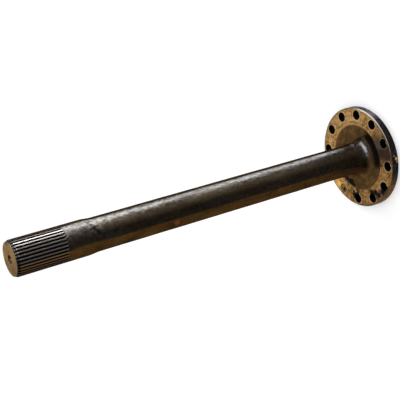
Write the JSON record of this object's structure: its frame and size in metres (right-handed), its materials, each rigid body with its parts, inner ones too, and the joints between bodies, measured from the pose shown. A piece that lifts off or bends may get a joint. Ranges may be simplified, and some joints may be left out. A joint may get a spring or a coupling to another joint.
{
  "type": "flanged axle half shaft",
  "caption": "Heavy flanged drive axle shaft: a round flange with a ring of bolt holes, a forged boss, a plain round body and a splined end with a lathe centre.",
  "frame": {"origin": "centre of the flange's outboard face, on which the shaft stands", "axes": "+Z along the shaft's axis, from the flange to the splined end; +X through the centre of one bolt hole"},
  "size_m": [0.1899, 0.19, 0.7145],
  "materials": {
    "forged_steel": "dark oiled forging skin on the body, bare turned steel with a tan film on the bolting ring and the end face"
  },
  "bodies": {
    "root": {"axle_shaft": "forged_steel"}
  },
  "joints": []
}
